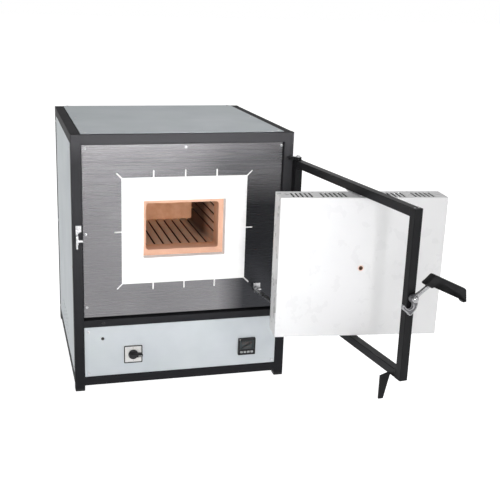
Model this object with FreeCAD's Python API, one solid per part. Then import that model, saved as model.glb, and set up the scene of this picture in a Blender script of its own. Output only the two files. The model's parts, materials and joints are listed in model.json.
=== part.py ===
"""Bench-top electric kiln with a parallel-swinging side door, door standing open.

Millimetres, +Z up, front of the cabinet towards -Y.  The origin is the centre of
the cabinet's footprint, on the surface that the kiln stands on.  The door frame
stands at its open rest angle; the door panel turns on a vertical pivot inside it.
"""
import FreeCAD, Part
import math
import os

os.makedirs("parts", exist_ok=True)
V = FreeCAD.Vector
UP = V(0, 0, 1)
BACKWARD = V(0, 1, 0)
RIGHTWARD = V(1, 0, 0)

# Cabinet frame
cab_w = 566.0
cab_d = 557.0
cab_h = 672.0
tube = 25.0
tube_wall = 1.5
glide_h = 6.0
low_rail_z = 14.0
low_rail_h = 24.0
mid_rail_z = 175.0
mid_rail_h = 20.0
sheet = 1.5

# Front plate, white board and heated chamber
plate_recess = 9.0
plate_thick = 1.0
furnace_x = 1.5
opening_w = 325.0
opening_h = 277.5
opening_z = 423.2
slot_len = 18.0
slot_w = 3.6
slot_offset = 81.5
board_thick = 22.0
board_lap = 29.5
mouth_w = 213.5
mouth_h = 149.5
mouth_z = 427.0
throat_w = 191.0
throat_low = 367.0
throat_high = 490.0
throat_depth = 50.0
chamber_w = 195.0
chamber_floor = 360.0
chamber_top = 492.0
chamber_depth = 358.0
muffle_back = 17.0
muffle_roof = 18.0
groove_pitch = 23.6
groove_w = 5.6
groove_bore = 6.5
groove_sink = 13.0
coil_r = 4.4
floor_grooves = 8
wall_grooves = 4
wall_first = 33.5

# Control panel
panel_recess = 2.0
ctrl_x = 177.0
ctrl_z = 92.0
ctrl_size = 48.0
knob_x = -132.0
knob_z = 93.5
lamp_x = -211.0
lamp_z = 142.0

# Door frame
hinge_x = cab_w / 2 + 9.0
hinge_gap = 12.0
open_angle = 96.8
closed_angle = 2.2
door_bar = 19.0
door_len = 548.0
door_low = 230.0
door_high = 603.0
pin_r = 4.0
fit = 0.05

# Door panel
panel_w = 382.0
panel_h = 327.0
panel_thick = 64.0
panel_skin = 1.2
panel_low = 253.0
panel_yaw = 7.0
pivot_along = 302.9
pivot_behind_face = 38.0
pivot_off_centre = 10.0
plug_w = 292.0
plug_h = 236.0
plug_stand = 7.0
vent_w = 4.8
vent_pitch = 10.3

# Link that keeps the panel nearly parallel to the cabinet
link_eye_x = -86.0
link_eye_y = 12.0
link_thick = 3.0
link_w = 12.0
link_low = 249.5

# Latch
boss_z = 417.0
boss_stand = 4.0
claw_thick = 8.0
claw_x = -6.0
claw_z = -17.0
claw_inner = 7.0
claw_outer = 12.6
keeper_pin_z = 411.0
keeper_pin_out = 16.3
keeper_pin_r = 3.5

left = -cab_w / 2
right = cab_w / 2
front = -cab_d / 2
back = cab_d / 2
plate_y = front + plate_recess
board_y = plate_y + plate_thick
muffle_y = board_y + board_thick
hinge_y = front - hinge_gap


def box(x0, x1, y0, y1, z0, z1):
    """A block between two values on each axis."""
    return Part.makeBox(x1 - x0, y1 - y0, z1 - z0, V(x0, y0, z0))


def rod(x, y, z, radius, length, direction=UP):
    """A cylinder that starts at a point and runs along a direction."""
    return Part.makeCylinder(radius, length, V(x, y, z), direction)


def round_edges(shape, radius, direction):
    """Rounds every straight edge that lies along one direction."""
    edges = []
    for edge in shape.Edges:
        if edge.Curve.TypeId == "Part::GeomLine" and abs(abs(edge.tangentAt(0).dot(direction)) - 1) < 1e-6:
            edges.append(edge)
    return shape.makeFillet(radius, edges)


def square_tube(x0, x1, y0, y1, z0, z1, direction, wall=tube_wall, cap=0.0, corner=2.0):
    """Hollow square tube; cap closes the far end with that thickness."""
    outer = round_edges(box(x0, x1, y0, y1, z0, z1), corner, direction)
    gap_x = 0.0 if direction == RIGHTWARD else wall
    gap_y = 0.0 if direction == BACKWARD else wall
    gap_z = 0.0 if direction == UP else wall
    core = box(x0 + gap_x, x1 - gap_x, y0 + gap_y, y1 - gap_y, z0 + gap_z, z1 - gap_z - cap)
    return outer.cut(core)


def join(shapes):
    """One solid from overlapping or touching shapes."""
    whole = shapes[0]
    for shape in shapes[1:]:
        whole = whole.fuse(shape)
    return whole.removeSplitter()


def keep(name, *solids):
    """Writes one named sub-part, which may be a group of separate solids."""
    shape = solids[0] if len(solids) == 1 else Part.makeCompound(list(solids))
    shape.exportStep("parts/" + name + ".step")


def screw(x, y, z, inward, head_r=3.4, head_h=1.8, shank_r=1.7, shank=7.0):
    """Screw seated on a face, its head tapered and its shank pointing inward."""
    head = Part.makeCone(head_r * 0.7, head_r, head_h, V(x, y, z) - inward * head_h, inward)
    return head.fuse(Part.makeCylinder(shank_r, shank, V(x, y, z), inward))


def drilled(shape, points, inward, radius=1.8, depth=8.0):
    """A sheet with a clearance hole at each screw."""
    for x, y, z in points:
        shape = shape.cut(Part.makeCylinder(radius, depth, V(x, y, z) - inward * 0.5, inward))
    return shape


# ---------------------------------------------------------------- cabinet frame
def mitre(y):
    """The room of a top rail whose two ends are cut at 45 degrees to meet the posts."""
    outline = [V(left, y - 1, cab_h), V(right, y - 1, cab_h), V(right - tube, y - 1, cab_h - tube),
               V(left + tube, y - 1, cab_h - tube), V(left, y - 1, cab_h)]
    return Part.Face(Part.makePolygon(outline)).extrude(V(0, tube + 2, 0))


def cabinet_frame():
    """Welded frame of square tube: four posts, top, middle and bottom rails."""
    names = {
        "post_front_left": (left, front),
        "post_front_right": (right - tube, front),
        "post_rear_left": (left, back - tube),
        "post_rear_right": (right - tube, back - tube),
    }
    glides = []
    for name, (x, y) in names.items():
        post = square_tube(x, x + tube, y, y + tube, glide_h, cab_h, UP)
        keep(name, post.cut(mitre(y)))
        pad = round_edges(box(x, x + tube, y, y + tube, 0, glide_h), 2.0, UP)
        spigot = box(x + 2, x + tube - 2, y + 2, y + tube - 2, glide_h, glide_h + 12)
        glides.append(pad.fuse(spigot))
    keep("foot_glides", *glides)

    inner_x = right - tube
    inner_y = back - tube
    for name, z, height in (("top_rails", cab_h - tube, tube), ("bottom_rails", low_rail_z, low_rail_h)):
        rails = []
        for y in (front, back - tube):
            if name == "top_rails":
                rails.append(square_tube(left, right, y, y + tube, z, z + height, RIGHTWARD).common(mitre(y)))
            else:
                rails.append(square_tube(-inner_x, inner_x, y, y + tube, z, z + height, RIGHTWARD))
        for x in (left, right - tube):
            rails.append(square_tube(x, x + tube, -inner_y, inner_y, z, z + height, BACKWARD))
        keep(name, *rails)

    rail = square_tube(-inner_x, inner_x, front, front + tube, mid_rail_z, mid_rail_z + mid_rail_h, RIGHTWARD)
    rail = rail.cut(rod(tab_closed_x, front - 1, mid_rail_z + mid_rail_h / 2, 4 + fit, 4, BACKWARD))
    keep("middle_rail", rail)


# ---------------------------------------------------------------- cabinet sheets
def cabinet_sheets():
    """Painted sheets screwed between the tubes, and the shelf above the controls."""
    screws = []
    low = low_rail_z + low_rail_h
    high = cab_h - tube
    inner_x = right - tube
    inner_y = back - tube

    points = [(x, y, cab_h + sheet) for x in (-inner_x + 12, inner_x - 12) for y in (front + 20, 0, back - 18)]
    cover = box(-inner_x, inner_x, front + 10, back - 8, cab_h, cab_h + sheet)
    keep("top_cover", drilled(cover, points, V(0, 0, -1), depth=3.0))
    screws += [screw(x, y, z, V(0, 0, -1), shank=1.4) for x, y, z in points]

    for name, x0, inward in (("side_panel_left", left + 1, RIGHTWARD), ("side_panel_right", right - 1 - sheet, V(-1, 0, 0))):
        face = x0 if name.endswith("left") else x0 + sheet
        points = [(face, y, z) for y in (-inner_y + 12, inner_y - 12) for z in (low + 14, 330, high - 14)]
        panel = box(x0, x0 + sheet, -inner_y, inner_y, low, high)
        for row in range(3):
            for i in range(6):
                y = -40 + 30 * i
                z = 70 + 22 * row
                panel = panel.cut(box(x0 - 1, x0 + sheet + 1, y - 9, y + 9, z - 2, z + 2))
        keep(name, drilled(panel, points, inward))
        screws += [screw(x, y, z, inward) for x, y, z in points]

    points = [(x, back - 1, z) for x in (-inner_x + 12, 0, inner_x - 12) for z in (low + 14, 330, high - 14)]
    panel = box(-inner_x, inner_x, back - 1 - sheet, back - 1, low, high)
    for row in range(4):
        for i in range(8):
            x = 20 + 26 * i
            z = 70 + 20 * row
            panel = panel.cut(box(x - 9, x + 9, back - 5, back + 1, z - 2, z + 2))
    panel = panel.cut(rod(gland_x, back - 5, gland_z, 8.2, 8, BACKWARD))
    keep("rear_panel", drilled(panel, points, V(0, -1, 0)))
    screws += [screw(x, y, z, V(0, -1, 0)) for x, y, z in points]

    keep("floor_pan", box(-inner_x, inner_x, -inner_y, inner_y, low - 6, low - 6 + sheet))
    shelf_z = mid_rail_z + mid_rail_h + 2
    keep("divider_shelf", box(-inner_x, inner_x, -inner_y + 2, inner_y, shelf_z, shelf_z + sheet))

    plate_points = [(x, plate_y, z) for x in (-249, 253) for z in (228, 421, 637)] + [(3, plate_y, 637)]
    panel_y = front + panel_recess
    control_points = [(x, panel_y, z) for x in (-247, 250) for z in (47, 162)]
    screws += [screw(x, y, z, BACKWARD, shank=6) for x, y, z in plate_points + control_points]
    keep("cabinet_screws", *(screws + keeper()))
    front_plate(plate_points)
    control_panel(control_points)


def front_plate(points):
    """Stainless plate with a window and stress-relief slots round the white board."""
    x1 = right - tube - 2
    z0 = mid_rail_z + mid_rail_h + 5
    z1 = cab_h - tube - 2
    pan = box(-x1, x1, plate_y, plate_y + 14, z0, z1)
    pan = pan.cut(box(-x1 + plate_thick, x1 - plate_thick, board_y, plate_y + 15, z0 + plate_thick, z1 - plate_thick))
    half_w = opening_w / 2
    half_h = opening_h / 2
    window_x = furnace_x + 1.5
    window = box(window_x - half_w, window_x + half_w, plate_y - 1, plate_y + 3, opening_z - half_h, opening_z + half_h)
    pan = pan.cut(window)
    starts = [(x, side * half_h, 90 * side) for x in (-slot_offset, 0, slot_offset) for side in (-1, 1)]
    starts += [(side * half_w, 0, 90 - 90 * side) for side in (-1, 1)]
    starts += [(a * half_w, b * half_h, math.degrees(math.atan2(b, a))) for a in (-1, 1) for b in (-1, 1)]
    for x, z, angle in starts:
        slot = box(-2, slot_len - slot_w / 2, -1, 3, -slot_w / 2, slot_w / 2)
        slot = slot.fuse(rod(slot_len - slot_w / 2, -1, 0, slot_w / 2, 4, BACKWARD))
        slot.rotate(V(0, 0, 0), V(0, -1, 0), angle)
        slot.translate(V(window_x + x, plate_y, opening_z + z))
        pan = pan.cut(slot)
    keep("front_plate", drilled(pan, points, BACKWARD, depth=3))

    board = box(window_x - half_w - board_lap, window_x + half_w + board_lap, board_y, board_y + board_thick,
                opening_z - half_h - board_lap, opening_z + half_h + board_lap)
    mouth = box(window_x - mouth_w / 2, window_x + mouth_w / 2, board_y - 1, board_y + board_thick + 1,
                mouth_z - mouth_h / 2, mouth_z + mouth_h / 2)
    keep("front_board", board.cut(round_edges(mouth, 2.0, BACKWARD)))


def control_panel(points):
    """Grey panel below the chamber with the controller, main switch and lamp cut in."""
    y0 = front + panel_recess
    y1 = y0 + sheet
    inner_x = right - tube
    z0 = low_rail_z + low_rail_h
    panel = box(-inner_x + 0.5, inner_x - 0.5, y0, y1, z0 + 0.5, mid_rail_z - 0.5)
    half = ctrl_size / 2 - 1.5
    panel = panel.cut(box(ctrl_x - half, ctrl_x + half, y0 - 1, y1 + 1, ctrl_z - half, ctrl_z + half))
    panel = panel.cut(rod(knob_x, y0 - 1, knob_z, 6, 4, BACKWARD))
    panel = panel.cut(rod(lamp_x, y0 - 1, lamp_z, 3.0, 4, BACKWARD))
    keep("control_panel", drilled(panel, points, BACKWARD, depth=4))

    # Temperature controller: bezel, case behind the panel, display and four keys
    outer = ctrl_size / 2
    bezel = round_edges(box(ctrl_x - outer, ctrl_x + outer, y0 - 5, y0, ctrl_z - outer, ctrl_z + outer), 2.0, BACKWARD)
    case = box(ctrl_x - half + 0.2, ctrl_x + half - 0.2, y0 - 1, y0 + 92, ctrl_z - half + 0.2, ctrl_z + half - 0.2)
    body = bezel.fuse(case)
    body = body.cut(box(ctrl_x - 20, ctrl_x + 20, y0 - 6, y0 - 3.5, ctrl_z - 8, ctrl_z + 17))
    keep("controller_display", box(ctrl_x - 19.8, ctrl_x + 19.8, y0 - 4.3, y0 - 3.5, ctrl_z - 7.8, ctrl_z + 16.8))
    for i in range(4):
        x = ctrl_x + 9.6 * (i - 1.5)
        z = ctrl_z - 15.5
        body = body.cut(box(x - 3.7, x + 3.7, y0 - 6, y0 - 2, z - 2.9, z + 2.9))
        key = round_edges(box(x - 3.3, x + 3.3, y0 - 6, y0 - 2.8, z - 2.5, z + 2.5), 0.8, BACKWARD)
        keep("controller_key_" + str(i + 1), key)
    keep("controller_case", body.removeSplitter())

    # Main rotary switch: plate on the panel, body behind it, lever in front
    plate = round_edges(box(knob_x - 24.5, knob_x + 24.5, y0 - 2, y0, knob_z - 24.5, knob_z + 24.5), 2.5, BACKWARD)
    shaft_hole = rod(knob_x, y0 - 5, knob_z, 3.5 + fit, 30, BACKWARD)
    keep("switch_plate", plate.cut(shaft_hole))
    body = round_edges(box(knob_x - 21, knob_x + 21, y1, y1 + 52, knob_z - 21, knob_z + 21), 3.0, BACKWARD)
    keep("switch_body", body.cut(shaft_hole))
    hub = rod(knob_x, y0 - 7, knob_z, 13, 4.5, BACKWARD)
    grip = round_edges(box(knob_x - 12, knob_x + 24, y0 - 18, y0 - 6.8, knob_z - 5, knob_z + 5), 3.0, BACKWARD)
    shaft = rod(knob_x, y0 - 7, knob_z, 3.5, 27, BACKWARD)
    keep("switch_lever", join([hub, grip, shaft]))

    lamp = rod(lamp_x, y0 - 1.5, lamp_z, 4.0, 1.5, BACKWARD).fuse(rod(lamp_x, y0 - 0.5, lamp_z, 2.9, 18, BACKWARD))
    keep("indicator_lamp", lamp)


# ---------------------------------------------------------------- heated chamber
def chamber():
    """Ribbed ceramic muffle; each groove hides a heating coil in a round bore."""
    half = chamber_w / 2
    rear = board_y + chamber_depth
    wall = groove_sink + groove_bore + 12
    body = box(furnace_x - half - wall, furnace_x + half + wall, muffle_y, rear + muffle_back,
               chamber_floor - wall, chamber_top + muffle_roof)
    throat = box(furnace_x - throat_w / 2, furnace_x + throat_w / 2, muffle_y - 1, muffle_y + throat_depth,
                 throat_low, throat_high)
    hollow = box(furnace_x - half, furnace_x + half, muffle_y + throat_depth - 1, rear, chamber_floor, chamber_top)
    ribs_y = muffle_y + throat_depth
    cuts = [round_edges(throat, 7.0, BACKWARD), round_edges(hollow, 5.0, BACKWARD)]
    coils = []
    run = rear - ribs_y
    for i in range(floor_grooves):
        x = furnace_x + groove_pitch * (i - (floor_grooves - 1) / 2)
        z = chamber_floor - groove_sink
        cuts.append(box(x - groove_w / 2, x + groove_w / 2, ribs_y, rear, z, chamber_floor + 1))
        cuts.append(rod(x, ribs_y, z, groove_bore, run, BACKWARD))
        coils.append(rod(x, ribs_y + 3, z, coil_r, run - 6, BACKWARD))
    for side in (-1, 1):
        for i in range(wall_grooves):
            x = furnace_x + side * (half + groove_sink)
            z = chamber_floor + wall_first + groove_pitch * i
            edge = furnace_x + side * (half - 1)
            cuts.append(box(min(x, edge), max(x, edge), ribs_y, rear, z - groove_w / 2, z + groove_w / 2))
            cuts.append(rod(x, ribs_y, z, groove_bore, run, BACKWARD))
            coils.append(rod(x, ribs_y + 3, z, coil_r, run - 6, BACKWARD))
    sheath_x = furnace_x
    sheath_z = chamber_top - 16
    cuts.append(rod(sheath_x, rear - 1, sheath_z, 4.2, 20, BACKWARD))
    block = body
    for cut in cuts:
        block = block.cut(cut)
    keep("muffle", block)
    keep("heating_coils", *coils)

    sheath = rod(sheath_x, rear - 28, sheath_z, 4.0, 160, BACKWARD)
    head = rod(sheath_x, rear + 132, sheath_z, 12, 20, BACKWARD)
    keep("thermocouple", sheath.fuse(head))

    shelf_top = mid_rail_z + mid_rail_h + 2 + sheet
    wool = box(-225, 225, muffle_y + 0.5, rear + 131, shelf_top, cab_h - tube - 20)
    keep("insulation", wool.cut(body).cut(rod(sheath_x, rear + 10, sheath_z, 4.2, 150, BACKWARD)))


# ---------------------------------------------------------------- control bay
def control_bay():
    """Relay and terminals on the floor pan, door switch in the rail, cable inlet."""
    pan_top = low_rail_z + low_rail_h - 6 + sheet
    relay = box(20, 66, 20, 80, pan_top, pan_top + 4)
    for i in range(8):
        relay = relay.fuse(box(21 + 6 * i, 23 + 6 * i, 20, 80, pan_top + 4, pan_top + 26))
    keep("power_relay", relay.fuse(box(21, 65, 28, 72, pan_top + 26, pan_top + 50)).removeSplitter())
    block = box(-140, -60, 120, 142, pan_top, pan_top + 24)
    for i in range(6):
        block = block.cut(rod(-133 + 13 * i, 125, pan_top + 18, 3, 10))
    keep("terminal_block", block)

    flange = rod(gland_x, back - 1, gland_z, 13, 5, BACKWARD)
    dome = Part.makeCone(11, 8, 14, V(gland_x, back + 4, gland_z), BACKWARD)
    thread = rod(gland_x, back - 16, gland_z, 8, 16, BACKWARD)
    gland = join([flange, dome, thread])
    keep("cable_gland", gland.cut(rod(gland_x, back - 17, gland_z, gland_bore, 50, BACKWARD)))

    z = mid_rail_z + mid_rail_h / 2
    body = box(tab_closed_x - 13, tab_closed_x + 13, front + 4.5, front + 20, z - 8, z + 8)
    keep("limit_switch", body.cut(rod(tab_closed_x, front + 4, z, 4 + fit, 7, BACKWARD)))
    tip = rod(tab_closed_x, front - 3.2, z, 4, 10.5, BACKWARD)
    keep("limit_plunger", tip)


# ---------------------------------------------------------------- door geometry
def along_door(angle, s, w=0.0):
    """Place of a point s along the frame and w outside it, door turned by angle."""
    a = math.radians(angle)
    x = hinge_x - s * math.cos(a) + w * math.sin(a)
    y = hinge_y - s * math.sin(a) - w * math.cos(a)
    return x, y


def place_on_door(shape):
    """Moves a shape from frame axes (along, outward, up) to the open rest place."""
    shape.rotate(V(0, 0, 0), UP, open_angle - 180.0)
    shape.translate(V(hinge_x, hinge_y, 0))
    return shape


def turned(x, y, degrees):
    """A flat vector turned about the vertical."""
    a = math.radians(degrees)
    return x * math.cos(a) - y * math.sin(a), x * math.sin(a) + y * math.cos(a)


tab_along = 500.0
tab_edge = 27.5
tab_closed_x, tab_closed_y = along_door(closed_angle, tab_along, -tab_edge)
gland_x = -190.0
gland_z = 95.0
gland_bore = 5.0

pivot_x, pivot_y = along_door(open_angle, pivot_along)
shut_x, shut_y = along_door(closed_angle, pivot_along)
eye_dx, eye_dy = turned(link_eye_x, link_eye_y, -panel_yaw)
eye_open = (pivot_x + eye_dx, pivot_y + eye_dy)
eye_shut = (shut_x + link_eye_x, shut_y + link_eye_y)
anchor_y = front
# The anchor lies at equal distance from both places of the eye
anchor_x = ((eye_open[0] ** 2 - eye_shut[0] ** 2 + (eye_open[1] - anchor_y) ** 2 - (eye_shut[1] - anchor_y) ** 2)
            / (2 * (eye_open[0] - eye_shut[0])))
link_len = math.hypot(eye_open[0] - anchor_x, eye_open[1] - anchor_y)
link_open = math.degrees(math.atan2(eye_open[1] - anchor_y, eye_open[0] - anchor_x))
link_shut = math.degrees(math.atan2(eye_shut[1] - anchor_y, eye_shut[0] - anchor_x))


# ---------------------------------------------------------------- hinges
def hinges():
    """Lugs welded to the right front post and the pins that carry the door frame."""
    lugs = []
    pins = []
    for z, tip, length in ((door_high + 0.8, door_high - 16, 28), (door_low - 6.8, door_low - 10, 26)):
        eye = rod(hinge_x, hinge_y, z, 9, 6)
        arm = box(right - 16, hinge_x + 9, hinge_y, front, z, z + 6)
        corner = box(right + 4, hinge_x + 10, hinge_y + 9, front + 1, z - 1, z + 7)
        lug = join([eye, arm.cut(corner)])
        lugs.append(lug.cut(rod(hinge_x, hinge_y, z - 1, pin_r, 8)))
        pins.append(rod(hinge_x, hinge_y, tip, pin_r, length))
    keep("hinge_lugs", *lugs)
    keep("hinge_pins", *pins)


# ---------------------------------------------------------------- door frame
def door_frame():
    """Welded frame of four square tubes, with the parts fixed to it."""
    half = door_bar / 2
    bar = square_tube(-half, half, -half, half, door_low, door_high, UP, cap=14, corner=1.5)
    bar = bar.fuse(box(-half + 1, half - 1, -half + 1, half - 1, door_low, door_low + 14)).removeSplitter()
    bar = bar.cut(rod(0, 0, door_low - 1, pin_r + fit, 17.5)).cut(rod(0, 0, door_high - 16.5, pin_r + fit, 17.5))
    keep("door_bar_hinge", place_on_door(bar))
    for name, z in (("door_bar_bottom", door_low), ("door_bar_top", door_high - door_bar)):
        bar = square_tube(half, door_len - door_bar, -half, half, z, z + door_bar, RIGHTWARD, corner=1.5)
        keep(name, place_on_door(bar))
    bar = square_tube(door_len - door_bar, door_len, -half, half, door_low, door_high, UP, cap=tube_wall, corner=1.5)
    spindle_hole = rod(door_len - 3, 0, boss_z, 4 + fit, 6, RIGHTWARD)
    keep("door_bar_latch", place_on_door(bar.cut(spindle_hole)))

    # Pivot carriers: a strap under the top bar, a collar on the bottom bar
    inner_top = door_high - door_bar
    inner_low = door_low + door_bar
    strap = box(pivot_along - 34, pivot_along + 34, -half, half, inner_top - 2, inner_top)
    strap = round_edges(strap, 3.0, UP)
    collar = rod(pivot_along, 0, inner_low, 7, 2.6)
    strap = strap.cut(rod(pivot_along, 0, inner_top - 3, pin_r + fit, 4))
    collar = collar.cut(rod(pivot_along, 0, inner_low - 1, pin_r + fit, 5))
    keep("pivot_carriers", place_on_door(strap), place_on_door(collar))
    upper = rod(pivot_along, 0, inner_top - 20, pin_r, 20)
    lower = rod(pivot_along, 0, inner_low, pin_r, 20)
    keep("pivot_pins", place_on_door(upper), place_on_door(lower))

    # Tab that meets the door switch when the door is shut
    blade = Part.makePolygon([V(0, half, door_low), V(0, -4, door_low - 5), V(0, -tab_edge + 11, door_low - 59),
                              V(0, -tab_edge, door_low - 59), V(0, -tab_edge, door_low - 5), V(0, -half, door_low),
                              V(0, half, door_low)])
    tab = Part.Face(blade).extrude(V(4, 0, 0))
    tab.translate(V(tab_along - 2, 0, 0))
    keep("switch_tab", place_on_door(tab))

    stem = rod(door_len - tube_wall, 0, boss_z, 4.0, boss_stand + claw_thick + tube_wall + 1, RIGHTWARD)
    shoulder = rod(door_len, 0, boss_z, 7.5, boss_stand - 0.4, RIGHTWARD)
    cap = Part.makeCone(6.5, 4.5, 4, V(door_len + boss_stand + claw_thick + 0.4, 0, boss_z), RIGHTWARD)
    keep("latch_spindle", place_on_door(join([stem, shoulder, cap])))


# ---------------------------------------------------------------- latch
def latch():
    """Hand lever at the free side of the frame; its claw catches the keeper pin."""
    s0 = door_len + boss_stand
    hub = rod(0, 0, 0, 9, claw_thick, RIGHTWARD)
    ring = rod(0, claw_x, claw_z, claw_outer, claw_thick, RIGHTWARD)
    mouth = Part.makePolygon([V(-1, claw_x, claw_z), V(-1, claw_x + 8, claw_z + 30), V(-1, claw_x - 60, claw_z + 30),
                              V(-1, claw_x - 40, claw_z - 3.5), V(-1, claw_x, claw_z)])
    ring = ring.cut(Part.Face(mouth).extrude(V(claw_thick + 2, 0, 0)))
    spur = Part.makePolygon([V(0, -25, -13), V(0, -24, -19), V(0, -9, -34.4), V(0, -4, -34), V(0, 2, -27),
                             V(0, -6, -22), V(0, -17, -19), V(0, -25, -13)])
    spur = Part.Face(spur).extrude(V(claw_thick, 0, 0))
    arm = box(0, claw_thick, 2, 44, -3.6, 3.6)
    arm.rotate(V(0, 0, 0), RIGHTWARD, 36)
    hook = join([hub, ring, spur, arm])
    hook = hook.cut(rod(-1, claw_x, claw_z, claw_inner, claw_thick + 2, RIGHTWARD))
    hook = hook.cut(rod(-1, 0, 0, 4 + fit, claw_thick + 2, RIGHTWARD))
    hook.translate(V(s0, 0, boss_z))
    keep("latch_hook", place_on_door(hook))

    outline = [V(0, 21, 31), V(0, 43, 49), V(0, 131, 7), V(0, 134, -21), V(0, 125, -22), V(0, 117, -9),
               V(0, 56, 23), V(0, 46, 18), V(0, 21, 31)]
    grip = Part.Face(Part.makePolygon(outline)).extrude(V(18, 0, 0))
    grip = round_edges(grip, 2.5, RIGHTWARD)
    grip.translate(V(s0 + claw_thick / 2 - 9, 0, boss_z))
    arm.translate(V(s0, 0, boss_z))
    keep("latch_grip", place_on_door(grip.cut(arm)))


def keeper():
    """Keeper on the left front post: shaped plate, nose and cross pin, three screws."""
    x0 = left + 8
    outline = [V(0, 0, 447), V(14, 0, 447), V(14, 0, 432), V(5, 0, 426), V(5, 0, 387), V(1, 0, 387), V(0, 0, 400),
               V(0, 0, 447)]
    plate = Part.Face(Part.makePolygon(outline)).extrude(V(0, -3, 0))
    plate.translate(V(x0, front, 0))
    nose = box(x0, x0 + 5, front - keeper_pin_out - 5, front - 2.5, keeper_pin_z - 9, keeper_pin_z + 13)
    nose = round_edges(nose, 3.0, RIGHTWARD)
    points = [(x0 + 3.5, front - 3, 439), (x0 + 10.5, front - 3, 439), (x0 + 2.5, front - 3, 393)]
    body = drilled(join([plate, nose]), points, BACKWARD, radius=1.3, depth=4)
    keep("keeper", body.cut(rod(x0 - 1, front - keeper_pin_out, keeper_pin_z, keeper_pin_r + fit, 8, RIGHTWARD)))
    keep("keeper_pin", rod(x0, front - keeper_pin_out, keeper_pin_z, keeper_pin_r, 16, RIGHTWARD))
    return [screw(x, y, z, BACKWARD, 2.4, 1.4, 1.2, 2.8) for x, y, z in points]


# ---------------------------------------------------------------- door panel
def place_panel(shape):
    """Moves a shape from panel axes, pivot at the origin, to the open rest place."""
    shape.rotate(V(0, 0, 0), UP, -panel_yaw)
    shape.translate(V(pivot_x, pivot_y, 0))
    return shape


def door_panel():
    """White sheet-metal box with vents, a rear plate and a fibre plug that seals."""
    x0 = pivot_off_centre - panel_w / 2
    x1 = pivot_off_centre + panel_w / 2
    y0 = -pivot_behind_face
    y1 = y0 + panel_thick
    z0 = panel_low
    z1 = panel_low + panel_h
    mid_z = (z0 + z1) / 2
    t = panel_skin
    shell = box(x0, x1, y0, y1 - t, z0, z1)
    folds = [edge for edge in shell.Edges if edge.BoundBox.YMax < y0 + t]
    shell = shell.makeFillet(t, folds)
    shell = shell.cut(box(x0 + t, x1 - t, y0 + t, y1, z0 + t, z1 - t))
    for centre, count in ((-139.5, 5), (-67.0, 6), (67.0, 6), (139.5, 5)):
        for i in range(count):
            x = pivot_off_centre + centre + vent_pitch * (i - (count - 1) / 2)
            slot = box(x - vent_w / 2, x + vent_w / 2, y0 + 6, y0 + 50, z0 - 1, z1 + 1)
            shell = shell.cut(round_edges(slot, vent_w / 2 - 0.1, UP))
    peep = rod(pivot_off_centre, y0 - 2, mid_z, 5.6, panel_thick + 20, BACKWARD)
    shell = shell.cut(peep).cut(rod(0, 0, z0 - 1, pin_r + 0.3, panel_h + 2))
    shell = shell.cut(rod(link_eye_x, link_eye_y, z0 - 1, 3 + fit, 4))
    keep("door_shell", place_panel(shell))

    half_w = plug_w / 2
    half_h = plug_h / 2
    rear = box(x0, x1, y1 - t, y1, z0, z1)
    window = box(pivot_off_centre - half_w, pivot_off_centre + half_w, y1 - 5, y1 + 5, mid_z - half_h, mid_z + half_h)
    keep("door_rear_plate", place_panel(rear.cut(window)))
    plug = box(pivot_off_centre - half_w + 0.3, pivot_off_centre + half_w - 0.3, y0 + 40, y1 + plug_stand,
               mid_z - half_h + 0.3, mid_z + half_h - 0.3)
    plug = round_edges(plug, 4.0, BACKWARD)
    keep("door_plug", place_panel(plug.cut(peep)))
    flange = rod(pivot_off_centre, y0 - 1.2, mid_z, 7.5, 1.2, BACKWARD)
    pipe = rod(pivot_off_centre, y0 - 1.2, mid_z, 5.5, panel_thick + plug_stand + 1.2, BACKWARD)
    bore = rod(pivot_off_centre, y0 - 3, mid_z, 4.0, panel_thick + 30, BACKWARD)
    keep("peephole_tube", place_panel(flange.fuse(pipe).cut(bore)))

    bushes = []
    for z in (z0 + t, z1 - t - 17):
        bushes.append(place_panel(rod(0, 0, z, 9, 17).cut(rod(0, 0, z - 1, pin_r + fit, 19))))
    keep("pivot_bushes", *bushes)
    stud = rod(link_eye_x, link_eye_y, link_low - 1.6, 3, z0 + 8 - link_low + 1.6)
    head = rod(link_eye_x, link_eye_y, link_low - 2.6, 5, 1.6)
    keep("link_stud", place_panel(stud.fuse(head)))


# ---------------------------------------------------------------- link
def link():
    """Flat bar from a bracket on the front plate to a stud under the panel."""
    half = link_w / 2
    bar = box(0, link_len, -half, half, link_low, link_low + link_thick)
    ends = [rod(0, 0, link_low, half, link_thick), rod(link_len, 0, link_low, half + 3, link_thick)]
    bar = join([bar] + ends)
    bar = bar.cut(rod(0, 0, link_low - 1, 3 + fit, link_thick + 2))
    bar = bar.cut(rod(link_len, 0, link_low - 1, 6.0, link_thick + 2))
    bar.rotate(V(0, 0, 0), UP, link_open)
    bar.translate(V(anchor_x, anchor_y, 0))
    keep("parallel_link", bar)

    z = link_low + link_thick + 0.5
    x0 = anchor_x - 5.5
    lug = box(x0, anchor_x + 13, anchor_y - 5, plate_y, z, z + 3)
    foot = box(x0, anchor_x + 13, plate_y - 3, plate_y, z, z + 16)
    bracket = join([lug, foot]).cut(rod(anchor_x, anchor_y, z - 1, 3, 5))
    keep("link_bracket", bracket)
    pin = rod(anchor_x, anchor_y, link_low - 1.8, 3, z + 4.5 - link_low + 1.8)
    keep("link_pin", pin.fuse(rod(anchor_x, anchor_y, link_low - 2.4, 5, 2)))


cabinet_frame()
cabinet_sheets()
chamber()
control_bay()
hinges()
door_frame()
latch()
door_panel()
link()
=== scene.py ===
import json
import math

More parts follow.
